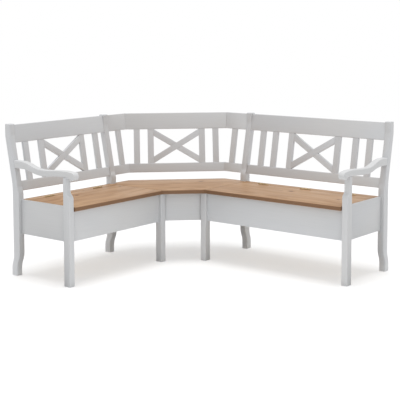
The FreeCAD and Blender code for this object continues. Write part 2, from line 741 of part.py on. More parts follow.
def corner_front_edge(edge):
    """Whether an edge is the slanting upper or lower edge at the front of the corner seat."""
    box = edge.BoundBox
    front = number("seat_front")
    return box.ZLength < FLAT and box.Center.x > front and box.Center.y < -front


def corner_box():
    """Diagonal apron, rear seat rails and cleats under the corner seat."""
    item = piece("corner_apron", RIGHT)
    inner = "(junction_reach - post_wide)"
    front = "(leg_front - corner_apron_inset)"
    back = "(leg_front - corner_apron_inset - panel_thick * sqrt(2))"
    corners = [(inner, f"-{front}"), (inner, f"-{back}"), (back, f"-{inner}"), (front, f"-{inner}")]
    pad(item, outline(sketch_on(item, "XY_Plane", "apron_low"), corners), f"{SEAT_UNDER} - apron_low")
    keep(item)
    rails = []
    low = f"{SEAT_UNDER} - seat_rail_deep"
    for frame in (LEFT, RIGHT):
        rails.append(board(f"corner_{frame.name}_seat_rail", frame, ("bend_reach", inner), BACK_PANEL,
                           (low, SEAT_UNDER)))
        mitre(rails[-1], frame)
    rails.append(board("corner_middle_seat_rail", CORNER, (f"-{HALF_CORNER}", HALF_CORNER), BACK_PANEL,
                       (low, SEAT_UNDER)))
    mitre(rails[-1], CORNER)
    group("corner_seat_rails", rails)
    divider = "(junction_reach - panel_thick)"
    cleats = [board(f"corner_{frame.name}_seat_cleat", frame, (f"{divider} - cleat_size", divider),
                    ("post_front + cleat_end", f"{LEG_BACK} - cleat_end"),
                    (f"{SEAT_UNDER} - cleat_size", SEAT_UNDER)) for frame in (LEFT, RIGHT)]
    apron_v = f"(({inner} + {back}) / sqrt(2) - {HALF_CORNER})"
    reach = f"(({inner} - {back}) / sqrt(2) - cleat_size - cleat_end)"
    cleats.append(board("corner_front_seat_cleat", CORNER, (f"-{reach}", reach),
                        (f"{apron_v} - cleat_size", apron_v), (f"{SEAT_UNDER} - cleat_size", SEAT_UNDER)))
    group("corner_seat_cleats", cleats)


# Hinges

def hinge_leaf(name, frame, middle, faces, spans, bore):
    """One leaf: a plate on the board's edge with knuckles at some of the spans."""
    item = piece(name, frame)
    half = f"(knuckle_long * {KNUCKLES} / 2)"
    across = frame.along(f"{middle} - {half}", f"{middle} + {half}")
    plate = sketch_on(item, "YZ_Plane", across[0])
    rectangle(plate, (f"-({faces[1]})", f"-({faces[0]})"), ("seat_top - leaf_drop", "seat_top"))
    pad(item, plate, f"2 * {half}")
    tab_top = f"({PIN_Z} - (knuckle_radius + pin_radius) / 2)"
    for span in spans:
        start = f"{across[0]} + {span} * knuckle_long"
        tab = sketch_on(item, "YZ_Plane", start)
        rectangle(tab, (f"-({faces[1]})", f"-({faces[0]})"), ("seat_top", tab_top))
        pad(item, tab, "knuckle_long")
        knuckle = sketch_on(item, "YZ_Plane", start)
        pad(item, circle(knuckle, f"-{PIN_V}", PIN_Z, "knuckle_radius"), "knuckle_long")
    hole = sketch_on(item, "YZ_Plane", across[0])
    pocket(item, circle(hole, f"-{PIN_V}", PIN_Z, bore), f"2 * {half}", ahead=True)
    return item


def hinge_pin(name, frame, middle):
    """Pin that stands a little out of both ends of its knuckles."""
    item = piece(name, frame)
    half = f"(knuckle_long * {KNUCKLES} / 2 + pin_head)"
    across = frame.along(f"{middle} - {half}", f"{middle} + {half}")
    rod = circle(sketch_on(item, "YZ_Plane", across[0]), f"-{PIN_V}", PIN_Z, "pin_radius")
    pad(item, rod, f"2 * {half}")
    return item


def hinges(frame, ends, count):
    """Butt hinges between a lid and its fixed strip, evenly spaced."""
    fixed_faces = ("strip_front", "strip_front + leaf_thick")
    lid_faces = (f"{LID_REAR} - leaf_thick", LID_REAR)
    fixed, moving, pins = [], [], []
    first, last = f"({ends[0]} + hinge_inset)", f"({ends[1]} - hinge_inset)"
    for index in range(count):
        middle = f"({first} + ({last} - {first}) * {index} / {count - 1})"
        tag = f"{frame.name}_hinge_{index + 1}"
        fixed.append(hinge_leaf(f"{tag}_fixed", frame, middle, fixed_faces, FIXED_KNUCKLES, "pin_radius"))
        moving.append(hinge_leaf(f"{tag}_moving", frame, middle, lid_faces, MOVING_KNUCKLES,
                                 "pin_radius + pin_clearance"))
        pins.append(hinge_pin(f"{tag}_pin", frame, middle))
    group(f"{frame.name}_strip_hinge_leaves", fixed)
    group(f"{frame.name}_lid_hinge_leaves", moving)
    group(f"{frame.name}_hinge_pins", pins)


# Assembly

LEFT_SLATS = ["left_slat_share"]
RIGHT_SLATS = ["right_slat_share", "right_second_share"]
for wing, slats, hinge_count in ((LEFT, LEFT_SLATS, LEFT_HINGES), (RIGHT, RIGHT_SLATS, RIGHT_HINGES)):
    rear_post(f"{wing.name}_end_post", wing, REACH[wing])
    rear_post(f"{wing.name}_junction_post", wing, "junction_reach")
    arm_post(f"{wing.name}_arm_post", wing)
    corner_leg(f"{wing.name}_corner_leg", wing)
    armrest(f"{wing.name}_armrest", wing)
    wing_back(wing, slats)
    chest(wing)
    hinges(wing, lid(wing), hinge_count)
corner_back()
corner_seat()
corner_box()
doc.recompute()

for item in doc.Objects:
    if {"Invalid", "Error"} & set(item.State):
        raise ValueError(f"{item.Label} did not recompute: {item.State}")
for item in made:
    if item.Shape.isNull() or not item.Shape.isValid() or not item.Shape.Solids:
        raise ValueError(f"{item.Label} has no valid shape")

os.makedirs("parts", exist_ok=True)
for item in made:
    item.Shape.exportStep(f"parts/{item.Label}.step")
print(f"{len(made)} parts written")
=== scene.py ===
"""Painted corner storage bench with pine seats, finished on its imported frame.

Lengths are in metres and colours are linear RGBA. The frame is the object's own: +X runs along the
right wing away from the corner of the room, the left wing runs towards -Y, and +Z is up. u is the
distance along a wing from the corner of the room, and v the distance in front of the wall.
"""
from __future__ import annotations

import json
import logging
import math
from collections.abc import Iterable, Mapping, Sequence
from dataclasses import dataclass, field
from enum import Enum
from typing import Any

import bmesh
import bpy
import numpy as np
from mathutils import Euler, Matrix, Vector

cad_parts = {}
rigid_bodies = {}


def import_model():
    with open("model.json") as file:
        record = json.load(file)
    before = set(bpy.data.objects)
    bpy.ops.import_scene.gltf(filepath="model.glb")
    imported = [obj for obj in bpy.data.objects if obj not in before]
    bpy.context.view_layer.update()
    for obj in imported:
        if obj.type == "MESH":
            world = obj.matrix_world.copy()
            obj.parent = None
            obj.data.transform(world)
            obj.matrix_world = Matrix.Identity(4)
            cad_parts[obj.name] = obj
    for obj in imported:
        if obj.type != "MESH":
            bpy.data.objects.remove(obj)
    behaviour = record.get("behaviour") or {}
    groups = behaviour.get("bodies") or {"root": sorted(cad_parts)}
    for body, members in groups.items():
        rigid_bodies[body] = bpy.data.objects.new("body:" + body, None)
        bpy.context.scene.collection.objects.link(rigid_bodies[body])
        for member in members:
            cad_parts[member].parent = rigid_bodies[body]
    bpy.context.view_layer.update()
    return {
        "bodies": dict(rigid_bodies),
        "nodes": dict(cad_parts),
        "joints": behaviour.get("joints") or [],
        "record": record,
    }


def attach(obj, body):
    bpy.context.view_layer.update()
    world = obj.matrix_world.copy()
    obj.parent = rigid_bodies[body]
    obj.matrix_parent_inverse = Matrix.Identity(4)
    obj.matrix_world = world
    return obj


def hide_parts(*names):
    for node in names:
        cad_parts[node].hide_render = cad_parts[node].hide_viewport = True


LOG = logging.getLogger("corner_bench")
SEED = 7


class Slot(Enum):
    """Finish slots of the record."""

    PAINT = "white_paint"
    SEAT = "pine_seat"
    INNER = "inner_pine"
    STEEL = "hinge_steel"


# Finishes


@dataclass(frozen=True)
class PaintFinish:
    """Satin paint brushed over pine."""

    colour: tuple[float, float, float, float] = (0.618, 0.626, 0.636, 1.0)
    cool: tuple[float, float, float, float] = (0.590, 0.606, 0.630, 1.0)
    warm: tuple[float, float, float, float] = (0.622, 0.618, 0.610, 1.0)
    roughness: tuple[float, float] = (0.38, 0.52)
    grain_pitch: float = 0.0035
    grain_length: float = 0.16
    brush_depth: float = 0.00012
    brush_shade: float = 0.965
    pore_scale: tuple[float, float, float] = (30.0, 900.0, 900.0)
    pore_share: float = 0.25
    drift_scale: tuple[float, float, float] = (1.6, 5.0, 5.0)
    tint_share: float = 0.35
    specular: float = 0.34


@dataclass(frozen=True)
class Knot:
    """A knot at a place in the grain's own coordinates, in metres."""

    along: float
    across: float
    radius: float


@dataclass(frozen=True)
class PineFinish:
    """Pine boards glued edge to edge.

    A scale is a noise's cells per metre along, across and through the grain, and a share is how far a
    layer turns early wood into late wood.
    """

    early: tuple[float, float, float, float]
    late: tuple[float, float, float, float]
    edge: tuple[float, float, float, float]
    knot: tuple[float, float, float, float]
    stave: float
    ring_pitch: float
    roughness: float
    streak_gain: float
    knots: tuple[Knot, ...] = ()
    travel: float = 17.0
    swirl_power: float = 1.6
    swirl_depth: float = 0.020
    wobble_scale: tuple[float, float, float] = (2.2, 10.0, 10.0)
    wobble_depth: float = 0.010
    pith_scale: tuple[float, float, float] = (0.9, 0.0, 0.0)
    pith_least: float = 0.016
    pith_range: float = 0.055
    lean_width: float = 0.05
    streak_scale: tuple[float, float, float] = (3.2, 62.0, 62.0)
    cloud_scale: tuple[float, float, float] = (1.3, 9.0, 9.0)
    pore_scale: tuple[float, float, float] = (45.0, 1100.0, 1100.0)
    late_share: float = 0.42
    cloud_share: tuple[float, float] = (-0.12, 0.20)
    tone_share: float = 0.22
    seam_width: tuple[float, float] = (0.0006, 0.0001)
    seam_share: float = 0.35
    cut_share: float = 0.86
    bump_depth: float = 0.00012
    specular: float = 0.26


@dataclass(frozen=True)
class SteelFinish:
    """Zinc-plated steel with a yellow passivated film."""

    colour: tuple[float, float, float, float] = (0.56, 0.44, 0.26, 1.0)
    roughness: tuple[float, float] = (0.36, 0.52)
    spangle: float = 900.0


@dataclass(frozen=True)
class Easing:
    """Rounding of each kind of piece at its corners."""

    rail: float = 0.0011
    cross_bar: float = 0.0007
    post: float = 0.0012
    apron: float = 0.0008
    panel: float = 0.0006
    batten: float = 0.0015
    seat: float = 0.0012
    pin: float = 0.0004
    leaf: float = 0.0003
    hidden: float = 0.0


EASE = Easing()

SEAT_PINE = PineFinish(
    early=(0.440, 0.272, 0.152, 1.0),
    late=(0.275, 0.145, 0.068, 1.0),
    edge=(0.185, 0.098, 0.052, 1.0),
    knot=(0.090, 0.036, 0.017, 1.0),
    stave=0.098,
    ring_pitch=0.0052,
    roughness=0.46,
    streak_gain=0.36,
    knots=(
        Knot(10.313, 5.546, 0.0085),
        Knot(9.992, 5.700, 0.0075),
        Knot(10.705, 5.462, 0.0055),
        Knot(20.418, 2.394, 0.0080),
        Knot(20.004, 2.366, 0.0060),
        Knot(30.069, 7.627, 0.0085),
        Knot(30.310, 7.420, 0.0060),
    ),
)
INNER_PINE = PineFinish(
    early=(0.690, 0.525, 0.345, 1.0),
    late=(0.560, 0.380, 0.220, 1.0),
    edge=(0.600, 0.430, 0.270, 1.0),
    knot=(0.230, 0.110, 0.055, 1.0),
    stave=0.120,
    ring_pitch=0.0058,
    roughness=0.62,
    streak_gain=0.26,
)


class NodeBoard:
    """Short calls for building a node tree."""

    def __init__(self, tree: bpy.types.NodeTree) -> None:
        """Start on an empty tree.

        Args:
            tree: the shader or geometry tree to fill.
        """
        self.tree = tree
        tree.nodes.clear()

    def add(self, kind: str, values: Mapping[Any, Any] | None = None, **properties: Any) -> bpy.types.Node:
        """Add a node, set its properties, and set or wire its inputs.

        Args:
            kind: the node's type name.
            values: input name or index to a constant or to another node's output socket.
            **properties: properties of the node itself.

        Returns:
            The new node.
        """
        node = self.tree.nodes.new(kind)
        for name, value in properties.items():
            setattr(node, name, value)
        for key, value in (values or {}).items():
            if isinstance(value, bpy.types.NodeSocket):
                self.tree.links.new(value, node.inputs[key])
            else:
                node.inputs[key].default_value = value
        return node

    def math(self, operation: str, first: Any, second: Any = 0.0) -> bpy.types.NodeSocket:
        """Calculate with one or two numbers.

        Args:
            operation: the calculation's name.
            first: a number or a socket.
            second: a number or a socket.

        Returns:
            The result's socket.
        """
        kind = "ShaderNodeMath"
        return self.add(kind, {0: first, 1: second}, operation=operation).outputs[0]

    def vector(self, operation: str, first: Any, second: Any = (0.0, 0.0, 0.0)) -> bpy.types.NodeSocket:
        """Calculate with one or two vectors.

        Args:
            operation: the calculation's name.
            first: a vector or a socket.
            second: a vector or a socket.

        Returns:
            The result's vector socket.
        """
        return self.add("ShaderNodeVectorMath", {0: first, 1: second}, operation=operation).outputs["Vector"]

    def remap(self, value: Any, source: tuple[float, float], target: tuple[float, float] = (0.0, 1.0)) -> Any:
        """Map a number smoothly from one range to another.

        Args:
            value: the socket to map.
            source: where the range starts and ends.
            target: what it becomes.

        Returns:
            The result's socket.
        """
        values = {"Value": value, "From Min": source[0], "From Max": source[1],
                  "To Min": target[0], "To Max": target[1]}
        return self.add("ShaderNodeMapRange", values, interpolation_type="SMOOTHSTEP").outputs["Result"]

    def blend(self, share: Any, first: Any, second: Any, mode: str = "MIX") -> bpy.types.NodeSocket:
        """Mix two colours.

        Args:
            share: how much of the second.
            first: a colour or a socket.
            second: a colour or a socket.
            mode: the way of mixing.

        Returns:
            The colour's socket.
        """
        return self.add("ShaderNodeMix", {0: share, 6: first, 7: second},
                        data_type="RGBA", blend_type=mode).outputs[2]

    def noise(self, place: Any, scale: float, detail: float = 2.0) -> bpy.types.NodeSocket:
        """Smooth noise.

        Args:
            place: the coordinates.
            scale: cells per metre.
            detail: how many finer layers are added.

        Returns:
            The socket of its value, from 0 to 1.
        """
        values = {"Vector": place, "Scale": scale, "Detail": detail}
        return self.add("ShaderNodeTexNoise", values).outputs["Fac"]

    def stretched_noise(self, place: Any, scale: tuple[float, float, float],
                        detail: float) -> bpy.types.NodeSocket:
        """Smooth noise with cells of a different size each way.

        Args:
            place: the coordinates.
            scale: cells per metre along, across and through.
            detail: how many finer layers are added.

        Returns:
            The socket of its value, from 0 to 1.
        """
        return self.noise(self.vector("MULTIPLY", place, scale), 1.0, detail)

    def grey(self, level: bpy.types.NodeSocket) -> bpy.types.NodeSocket:
        """Colour with one level in all three channels.

        Args:
            level: the level's socket.

        Returns:
            The colour's socket.
        """
        return self.add("ShaderNodeCombineColor", {0: level, 1: level, 2: level}).outputs[0]


def new_material(name: str) -> tuple[bpy.types.Material, NodeBoard]:
    """Start a material with an empty tree.

    Args:
        name: the material's name.

    Returns:
        The material and its node board.
    """
    material = bpy.data.materials.new(name)
    material.use_nodes = True
    return material, NodeBoard(material.node_tree)


def attribute(board: NodeBoard, name: str, output: str) -> bpy.types.NodeSocket:
    """Read an attribute of the piece.

    Args:
        board: the shader's node board.
        name: the attribute's name.
        output: the output to read, Vector or Fac.

    Returns:
        The output's socket.
    """
    return board.add("ShaderNodeAttribute", attribute_name=name).outputs[output]


def surface(board: NodeBoard, values: Mapping[str, Any]) -> None:
    """Close a material with its surface shader.

    Args:
        board: the material's node board.
        values: inputs of the shader.
    """
    shader = board.add("ShaderNodeBsdfPrincipled", values)
    board.add("ShaderNodeOutputMaterial", {"Surface": shader.outputs["BSDF"]})


def paint_material(finish: PaintFinish) -> bpy.types.Material:
    """Brushed satin paint with the grain of the pine showing faintly through.

    Args:
        finish: colours and depths.

    Returns:
        The material.
    """
    material, board = new_material(Slot.PAINT.value)
    grain = attribute(board, "grain", "Vector")
    fine = 1 / finish.grain_pitch
    stretched = board.vector("MULTIPLY", grain, (1 / finish.grain_length, fine, fine))
    brush = board.noise(stretched, 1.0, 3.0)
    pores = board.stretched_noise(grain, finish.pore_scale, 1.0)
    drift = board.stretched_noise(grain, finish.drift_scale, 1.0)
    tint = board.blend(board.remap(drift, (0.32, 0.68)), finish.cool, finish.warm)
    colour = board.blend(finish.tint_share, finish.colour, tint)
    shade = board.remap(brush, (0.25, 0.75), (finish.brush_shade, 1.0))
    colour = board.blend(1.0, colour, board.grey(shade), "MULTIPLY")
    height = board.math("ADD", brush, board.math("MULTIPLY", pores, finish.pore_share))
    bump = board.add("ShaderNodeBump", {"Strength": 0.55, "Distance": finish.brush_depth, "Height": height})
    rough = board.remap(brush, (0.2, 0.8), finish.roughness)
    surface(board, {"Base Color": colour, "Roughness": rough, "Normal": bump.outputs["Normal"],
                    "Specular IOR Level": finish.specular})
    return material


def knot_field(board: NodeBoard, grain: bpy.types.NodeSocket, knots: Iterable[Knot]) -> bpy.types.NodeSocket:
    """Closeness to the nearest knot: 1 at its heart and 0 away from it.

    Args:
        board: the shader's node board.
        grain: the grain coordinates.
        knots: where the knots are.

    Returns:
        The socket of the closeness.
    """
    nearest: Any = 0.0
    for knot in knots:
        middle = (knot.along, knot.across, 0.0)
        reach = (1 / (1.5 * knot.radius), 1 / knot.radius, 0.0)
        offset = board.vector("MULTIPLY", board.vector("SUBTRACT", grain, middle), reach)
        distance = board.add("ShaderNodeVectorMath", {0: offset}, operation="LENGTH").outputs["Value"]
        nearest = board.math("MAXIMUM", nearest, board.math("DIVIDE", 1.0, board.math("ADD", 1.0, distance)))
    return nearest


def pine_material(slot: Slot, finish: PineFinish) -> bpy.types.Material:
    """Pine panel of glued staves: cathedral figure, streaks, pores and knots, darker on its edges.

    Args:
        slot: the slot that names the material.
        finish: colours and measures.

    Returns:
        The material.
    """
    material, board = new_material(slot.value)
    grain = attribute(board, "grain", "Vector")
    cut = attribute(board, "cut", "Fac")
    part = board.add("ShaderNodeSeparateXYZ", {0: grain})
    along, across, through = part.outputs
    stave = board.math("DIVIDE", across, finish.stave)
    index = board.math("FLOOR", stave)
    inside = board.math("MULTIPLY", board.math("SUBTRACT", board.math("FRACT", stave), 0.5), finish.stave)
    chance = board.add("ShaderNodeTexWhiteNoise", {"W": index}, noise_dimensions="1D")
    luck = board.add("ShaderNodeSeparateColor", {0: chance.outputs["Color"]})
    tone, lean, shift = luck.outputs
    travelled = board.math("ADD", along, board.math("MULTIPLY", shift, finish.travel))
    path = board.add("ShaderNodeCombineXYZ", {0: travelled, 1: across, 2: through}).outputs[0]

    nearness = knot_field(board, grain, finish.knots)
    swirl = board.math("MULTIPLY", board.math("POWER", nearness, finish.swirl_power), finish.swirl_depth)
    wobble = board.stretched_noise(path, finish.wobble_scale, 2.0)
    pith = board.math("ADD", finish.pith_least, board.math(
        "MULTIPLY", board.stretched_noise(path, finish.pith_scale, 1.0), finish.pith_range))
    depth = board.math("ADD", board.math("ADD", pith, through), swirl)
    side = board.math("ADD", inside, board.math(
        "MULTIPLY", board.math("SUBTRACT", lean, 0.5), finish.lean_width))
    radius = board.math("SQRT", board.math("ADD", board.math("MULTIPLY", side, side),
                                           board.math("MULTIPLY", depth, depth)))
    radius = board.math("ADD", radius, board.math("MULTIPLY", wobble, finish.wobble_depth))
    ring = board.math("FRACT", board.math("DIVIDE", radius, finish.ring_pitch))
    late = board.math("MULTIPLY", board.remap(ring, (0.35, 0.86)),
                      board.remap(ring, (1.0, 0.93)))
    streak = board.stretched_noise(path, finish.streak_scale, 3.0)
    cloud = board.stretched_noise(path, finish.cloud_scale, 2.0)
    pores = board.stretched_noise(path, finish.pore_scale, 2.0)

    share = board.math("MULTIPLY", late, finish.late_share)
    share = board.math("ADD", share, board.remap(streak, (0.30, 0.78), (0.0, finish.streak_gain)))
    share = board.math("ADD", share, board.remap(cloud, (0.30, 0.72), finish.cloud_share))
    share = board.math("ADD", share, board.math(
        "MULTIPLY", board.math("SUBTRACT", tone, 0.5), finish.tone_share))
    colour = board.blend(share, finish.early, finish.late)
    heart = board.remap(nearness, (0.36, 0.56))
    halo = board.remap(nearness, (0.22, 0.42), (0.0, 0.5))
    colour = board.blend(halo, colour, finish.late)
    colour = board.blend(heart, colour, finish.knot)
    from_seam = board.math("ABSOLUTE", board.math(
        "SUBTRACT", board.math("ABSOLUTE", inside), finish.stave / 2))
    seam = board.remap(from_seam, finish.seam_width, (0.0, finish.seam_share))
    colour = board.blend(seam, colour, finish.edge)
    colour = board.blend(board.remap(cut, (0.2, 0.9), (0.0, finish.cut_share)), colour, finish.edge)
    height = board.math("ADD", board.math("MULTIPLY", late, 0.5), board.math("MULTIPLY", pores, 0.5))
    bump = board.add("ShaderNodeBump", {"Strength": 0.5, "Distance": finish.bump_depth, "Height": height})
    rough = board.remap(streak, (0.2, 0.8), (finish.roughness - 0.05, finish.roughness + 0.08))
    surface(board, {"Base Color": colour, "Roughness": rough, "Normal": bump.outputs["Normal"],
                    "Specular IOR Level": finish.specular})
    return material


def steel_material(finish: SteelFinish) -> bpy.types.Material:
    """Zinc-plated steel with a fine spangle.

    Args:
        finish: colour and roughness.

    Returns:
        The material.
    """
    material, board = new_material(Slot.STEEL.value)
    place = board.add("ShaderNodeTexCoord").outputs["Object"]
    spangle = board.noise(place, finish.spangle, 2.0)
    rough = board.remap(spangle, (0.3, 0.7), finish.roughness)
    bump = board.add("ShaderNodeBump", {"Strength": 0.2, "Distance": 0.00004, "Height": spangle})
    surface(board, {"Base Color": finish.colour, "Metallic": 1.0, "Roughness": rough,
                    "Normal": bump.outputs["Normal"]})
    return material


# Places


@dataclass(frozen=True)
class WallLine:
    """A line of the back.

    Attributes:
        name: left, right or corner.
        start: X and Y of the place where u and v are 0.
        turn: turn of the line's own X about Z, in degrees.
        sense: +1 where u grows along that X, and -1 where it shrinks.
    """

    name: str
    start: tuple[float, float]
    turn: float
    sense: int

    @property
    def across(self) -> Vector:
        """Own X of the line."""
        return Vector((math.cos(math.radians(self.turn)), math.sin(math.radians(self.turn)), 0.0))

    @property
    def ahead(self) -> Vector:
        """Level direction from the wall into the room."""
        return Vector((math.sin(math.radians(self.turn)), -math.cos(math.radians(self.turn)), 0.0))

    @property
    def along(self) -> Vector:
        """Direction in which u grows."""
        return self.across * self.sense

    def place(self, u: float, v: float, z: float) -> Vector:
        """Point at a distance along and in front of the line.

        Args:
            u: distance along the line.
            v: distance in front of the wall.
            z: height.

        Returns:
            The point in the frame.
        """
        return Vector((*self.start, z)) + self.along * u + self.ahead * v

    def measure(self, points: np.ndarray) -> np.ndarray:
        """Turn points of the frame into u, v and z.

        Args:
            points: n x 3 points.

        Returns:
            n x 3 values of u, v and z.
        """
        level = points - np.array((*self.start, 0.0))
        return level @ np.array((self.along, self.ahead, (0.0, 0.0, 1.0))).T


ROOM_CORNER = (-0.839, 0.724)
HALF_BEND = 0.240
RIGHT = WallLine("right", ROOM_CORNER, 0.0, 1)
LEFT = WallLine("left", ROOM_CORNER, 90.0, -1)
CORNER = WallLine("corner", (ROOM_CORNER[0] + HALF_BEND, ROOM_CORNER[1] - HALF_BEND), 45.0, 1)
UP = Vector((0.0, 0.0, 1.0))
FIXED_SIDE = (0.6, 1.0, 0.3)
RAKE = math.radians(9.7)


# Meshes


def mesh_points(mesh: bpy.types.Mesh) -> np.ndarray:
    """Vertices of a mesh.

    Args:
        mesh: the mesh to read.

    Returns:
        n x 3 coordinates.
    """
    flat = np.empty(len(mesh.vertices) * 3)
    mesh.vertices.foreach_get("co", flat)
    return flat.reshape(-1, 3)


def islands(mesh: bpy.types.Mesh) -> list[np.ndarray]:
    """Split a mesh's vertices into the separate solids that they belong to.

    Args:
        mesh: the mesh to read.

    Returns:
        One array of vertex numbers for each solid.
    """
    label = np.arange(len(mesh.vertices))
    ends = np.empty(len(mesh.edges) * 2, dtype=np.int64)
    mesh.edges.foreach_get("vertices", ends)
    first, second = ends.reshape(-1, 2).T
    while True:
        lowest = np.minimum(label[first], label[second])
        before = label.copy()
        np.minimum.at(label, first, lowest)
        np.minimum.at(label, second, lowest)
        label = label[label]
        if np.array_equal(before, label):
            return [np.flatnonzero(label == value) for value in np.unique(label)]


def board_axes(points: np.ndarray, along: Vector | None) -> np.ndarray:
    """Directions along, across and through a board.

    Args:
        points: the board's vertices.
        along: direction of its grain, or None for its longest direction.

    Returns:
        3 x 3 matrix with one direction in each row.
    """
    centred = points - points.mean(axis=0)
    length = np.linalg.svd(centred, full_matrices=False)[2][0] if along is None else np.array(along)
    rest = centred - np.outer(centred @ length, length)
    width = np.linalg.svd(rest, full_matrices=False)[2][0]
    if width @ np.array(FIXED_SIDE) < 0:
        width = -width
    return np.array((length, width, np.cross(length, width)))


def write_grain(mesh: bpy.types.Mesh, along: Vector | None, shift: Vector | None,
                draw: np.random.Generator) -> None:
    """Give a piece its grain coordinates and mark its narrow edges and end grain.

    Args:
        mesh: the piece's mesh.
        along: direction of the grain, or None for each board's longest direction.
        shift: where the grain coordinates start, or None for a place drawn for each board.
        draw: the source of those places.
    """
    points = mesh_points(mesh)
    grain = np.zeros_like(points)
    normals = np.empty(len(mesh.polygons) * 3)
    mesh.polygons.foreach_get("normal", normals)
    normals = normals.reshape(-1, 3)
    owner = np.array([polygon.vertices[0] for polygon in mesh.polygons])
    cut = np.zeros(len(mesh.polygons))
    for members in islands(mesh):
        axes = board_axes(points[members], along)
        start = draw.uniform(1.0, 40.0, 3) if shift is None else np.array(shift)
        grain[members] = points[members] @ axes.T + start
        faces = np.isin(owner, members)
        facing = np.abs(normals[faces] @ axes.T)
        cut[faces] = np.where(facing[:, 2] > 0.7, 0.0, 1.0)
    mesh.attributes.new("grain", "FLOAT_VECTOR", "POINT").data.foreach_set("vector", grain.ravel())
    mesh.attributes.new("cut", "FLOAT", "FACE").data.foreach_set("value", cut)


def bake(item: bpy.types.Object) -> None:
    """Turn a piece with modifiers into a plain mesh.

    Args:
        item: the object to change.
    """
    depsgraph = bpy.context.evaluated_depsgraph_get()
    item.data = bpy.data.meshes.new_from_object(
        item.evaluated_get(depsgraph), preserve_all_data_layers=True, depsgraph=depsgraph)
    item.data.name = item.name
    item.modifiers.clear()


def add_object(name: str, mesh: bpy.types.Mesh) -> bpy.types.Object:
    """Put a mesh into the scene.

    Args:
        name: the object's name.
        mesh: its mesh.

    Returns:
        The object.
    """
    item = bpy.data.objects.new(name, mesh)
    bpy.context.scene.collection.objects.link(item)
    return item


def merged_copy(source: bpy.types.Mesh, name: str) -> bpy.types.Mesh:
    """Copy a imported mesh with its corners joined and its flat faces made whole.

    Args:
        source: loose triangles.
        name: the copy's name.

    Returns:
        The merged mesh.
    """
    work = bmesh.new()
    work.from_mesh(source)
    bmesh.ops.remove_doubles(work, verts=work.verts, dist=2e-6)
    bmesh.ops.recalc_face_normals(work, faces=work.faces)
    bmesh.ops.dissolve_limit(work, angle_limit=math.radians(0.5), verts=work.verts, edges=work.edges)
    mesh = bpy.data.meshes.new(name)
    work.to_mesh(mesh)
    work.free()
    mesh.shade_smooth()
    return mesh


@dataclass
class Workshop:
    """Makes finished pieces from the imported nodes.

    Attributes:
        frame: what the loaded frame holds.
        materials: one material for each slot.
        draw: source of the grain's places, always the same.
        pieces: the finished pieces.
    """

    frame: Mapping[str, Any]
    materials: Mapping[Slot, bpy.types.Material]
    draw: np.random.Generator = field(default_factory=lambda: np.random.default_rng(SEED))
    pieces: list[bpy.types.Object] = field(default_factory=list)

    def body_of(self, node: str) -> str:
        """Body that a node belongs to.

        Args:
            node: the node's name.

        Returns:
            The body's name.
        """
        bodies = self.frame["record"]["behaviour"]["bodies"]
        return next(body for body, members in bodies.items() if node in members)

    def solids(self, node: str, line: WallLine | None = None) -> list[np.ndarray]:
        """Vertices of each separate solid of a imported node.

        Args:
            node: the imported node.
            line: the line to measure them from, or None for places in the frame.

        Returns:
            One n x 3 array for each solid.
        """
        packed = merged_copy(self.frame["nodes"][node].data, node)
        points = mesh_points(packed)
        if line is not None:
            points = line.measure(points)
        groups = [points[members] for members in islands(packed)]
        bpy.data.meshes.remove(packed)
        return groups

    def finish(self, item: bpy.types.Object, slot: Slot, nodes: Sequence[str], body: str) -> bpy.types.Object:
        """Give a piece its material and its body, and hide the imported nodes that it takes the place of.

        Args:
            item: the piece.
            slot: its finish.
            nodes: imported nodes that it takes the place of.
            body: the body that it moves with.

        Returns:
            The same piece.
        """
        item.data.materials.clear()
        item.data.materials.append(self.materials[slot])
        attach(item, body)
        if nodes:
            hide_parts(*nodes)
        self.pieces.append(item)
        LOG.info("%-28s %6d faces on %s", item.name, len(item.data.polygons), body)
        return item

    def eased(self, node: str, slot: Slot, radius: float, along: Vector | None = None,
              shift: Vector | None = None) -> bpy.types.Object:
        """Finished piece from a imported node, with its corners eased.

        Args:
            node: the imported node.
            slot: its finish.
            radius: rounding of its corners.
            along: direction of the grain, or None for each board's longest direction.
            shift: where the grain coordinates start, or None for a drawn place.

        Returns:
            The piece.
        """
        item = add_object(f"{node}_finished", merged_copy(self.frame["nodes"][node].data, node))
        bevel = item.modifiers.new("Ease", "BEVEL")
        bevel.width = radius
        bevel.segments = 2
        bevel.limit_method = "ANGLE"
        bevel.angle_limit = math.radians(28)
        bevel.harden_normals = True
        bake(item)
        write_grain(item.data, along, shift, self.draw)
        return self.finish(item, slot, [node], self.body_of(node))


# Repeated pieces, grown from geometry trees

HEAD_DEPTH = 0.0012
ARM_SHARE = 1.15
GROOVE_SHARE = 0.26


